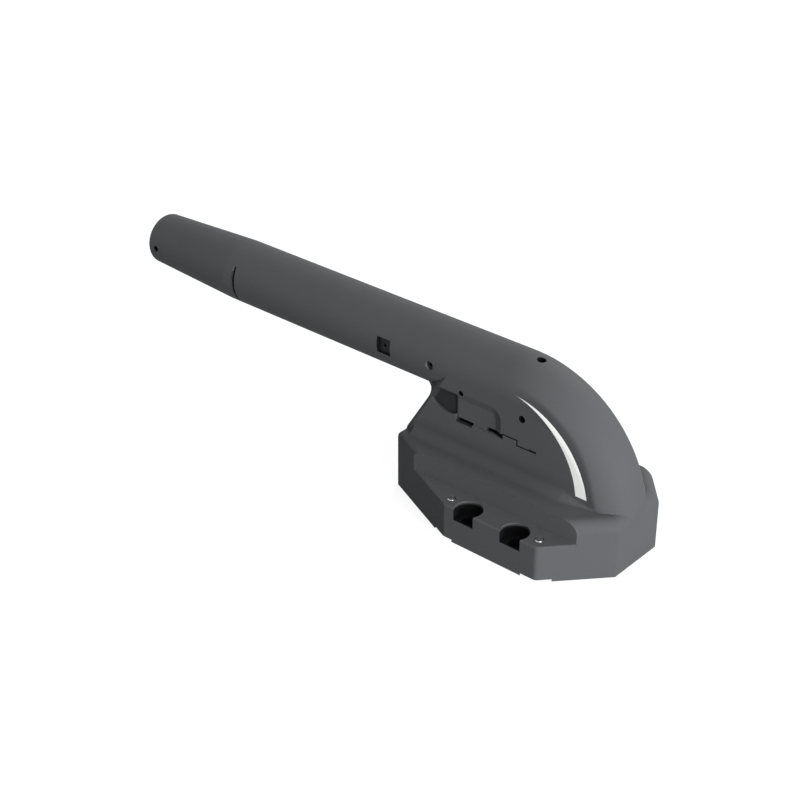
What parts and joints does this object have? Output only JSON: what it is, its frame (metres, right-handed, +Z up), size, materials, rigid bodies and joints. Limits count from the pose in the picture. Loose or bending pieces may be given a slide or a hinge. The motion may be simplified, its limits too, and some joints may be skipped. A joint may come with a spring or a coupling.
{
  "type": "pitot tube",
  "caption": "Airspeed head: a long round probe that bends down into a fin on an eight-sided base, with static ports, inner pressure tubes, hoses and a sensor board.",
  "frame": {"origin": "centre of the four mounting screw holes, in the plane of the mounting face", "axes": "+X aft along the probe, +Y to starboard, +Z up, away from the mounting face"},
  "size_m": [0.153, 0.0428, 0.0418],
  "materials": {
    "housing": "matte",
    "base_plate": "matte",
    "seal": "matte",
    "plug": "turned",
    "tube": "polished",
    "hose": "matte",
    "port_plate": "blackened",
    "set_screw": "blackened",
    "pin": "ground",
    "screw": "bright",
    "insert": "bright",
    "board": "lacquered",
    "sensor_body": "matte",
    "chip": "matte",
    "capacitor": "matte"
  },
  "bodies": {
    "root": {"lower_housing": "housing", "upper_housing": "housing", "base_plate": "base_plate", "base_seal": "seal", "front_plug_ring": "seal", "rear_plug_ring": "seal", "front_plug": "plug", "rear_plug": "plug", "total_pressure_tube": "tube", "static_pressure_tube": "tube", "total_pressure_hose": "hose", "static_pressure_hose": "hose", "port_static_plate": "port_plate", "starboard_static_plate": "port_plate", "set_screws": "set_screw", "plug_pin": "pin", "housing_pin": "pin", "base_screws": "screw", "board_screws": "screw", "board_inserts": "insert", "connector_contacts": "insert", "sensor_board": "board", "pressure_sensor": "sensor_body", "data_connector": "sensor_body", "barometer": "chip", "processor": "chip", "voltage_regulator": "chip", "board_capacitors": "capacitor"}
  },
  "joints": []
}
